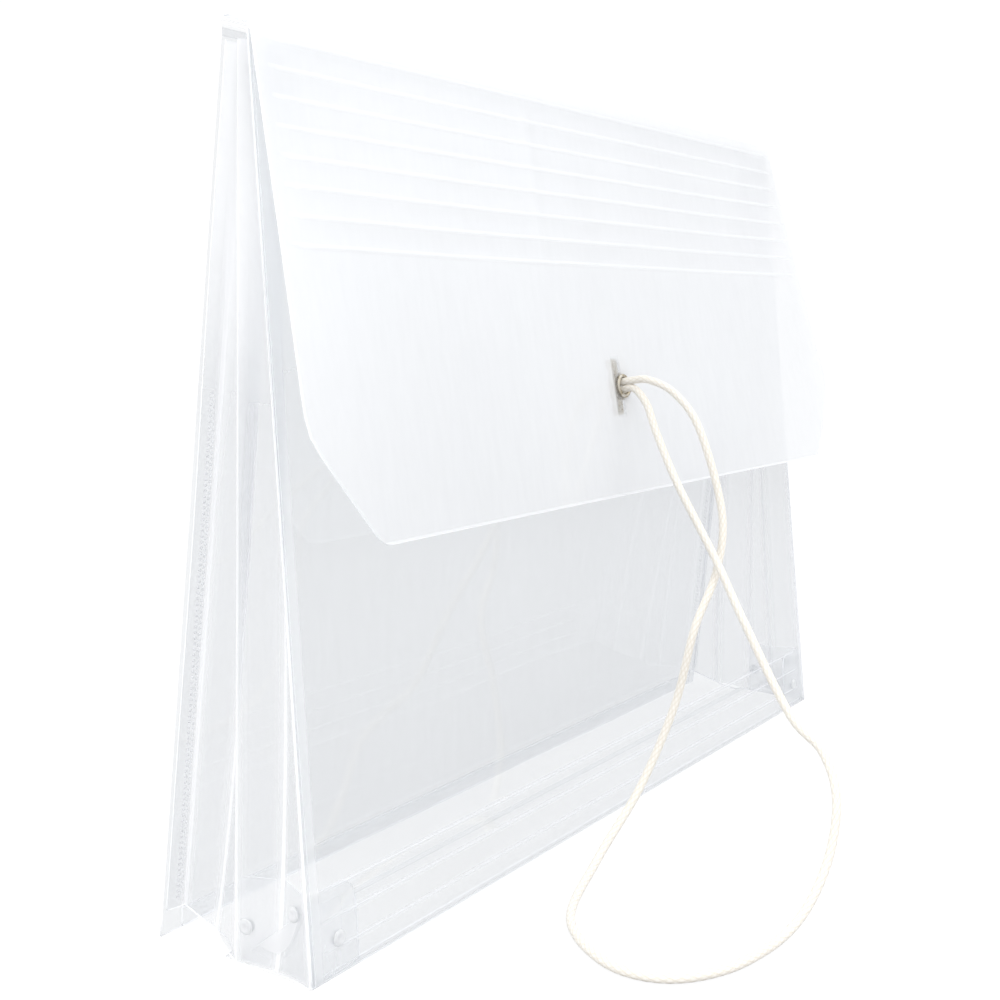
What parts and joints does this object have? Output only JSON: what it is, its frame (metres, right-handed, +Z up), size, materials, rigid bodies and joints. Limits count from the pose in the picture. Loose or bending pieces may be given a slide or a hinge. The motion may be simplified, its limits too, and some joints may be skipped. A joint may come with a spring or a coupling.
{
  "type": "portfolio case",
  "caption": "Clear plastic expanding portfolio case with folding accordion sides, a scored fold-over flap, a metal eyelet and an elastic cord loop.",
  "frame": {"origin": "on the floor, on the underside of the bottom panel, midway between the two ends", "axes": "+Z up, +X along the width, the front panel and flap face -Y"},
  "size_m": [0.3304, 0.1511, 0.254],
  "materials": {
    "clear_body": "clear polypropylene sheet, faintly blue-grey, smooth and glossy",
    "clear_flap": "clear polypropylene sheet with a soft milky haze",
    "clear_fold": "clear polypropylene, whitened along its folds and welds",
    "clear_rivet": "clear moulded plastic rivets",
    "nickel": "nickel-plated, rolled and stamped",
    "elastic": "off-white braided elastic cord"
  },
  "bodies": {
    "back": {"back_panel": "clear_body", "bottom_panel": "clear_body", "bottom_riser": "clear_body", "bottom_weld_flange": "clear_fold", "left_weld_flange": "clear_fold", "left_side_panel_1": "clear_fold", "left_side_panel_2": "clear_fold", "right_weld_flange": "clear_fold", "right_side_panel_1": "clear_fold", "right_side_panel_2": "clear_fold"},
    "front": {"front_panel": "clear_body", "left_side_panel_3": "clear_fold", "left_side_panel_4": "clear_fold", "left_front_tab": "clear_fold", "left_side_tab": "clear_fold", "left_front_rivet": "clear_rivet", "left_side_rivet_lower": "clear_rivet", "left_side_rivet_upper": "clear_rivet", "right_side_panel_3": "clear_fold", "right_side_panel_4": "clear_fold", "right_front_tab": "clear_fold", "right_side_tab": "clear_fold", "right_front_rivet": "clear_rivet", "right_side_rivet_lower": "clear_rivet", "right_side_rivet_upper": "clear_rivet"},
    "flap": {"top_strip": "clear_flap", "flap_panel": "clear_flap", "eyelet": "nickel", "eyelet_washer": "nickel", "crimp_bar": "nickel", "elastic_cord": "elastic"}
  },
  "joints": [
    {"name": "flap_hinge", "type": "hinge", "parent": "back", "child": "flap", "pos_m": [0, 0.0016, 0.25335], "axis": [-1, 0, 0], "range_deg": [-2, 240]},
    {"name": "mouth_hinge", "type": "hinge", "parent": "back", "child": "front", "pos_m": [0, -0.0285, 0], "axis": [1, 0, 0], "range_deg": [-0.1, 6.1]}
  ],
  "couplings": [
    {"joint": "mouth_hinge", "follows": "flap_hinge", "ratio": 0.025}
  ]
}
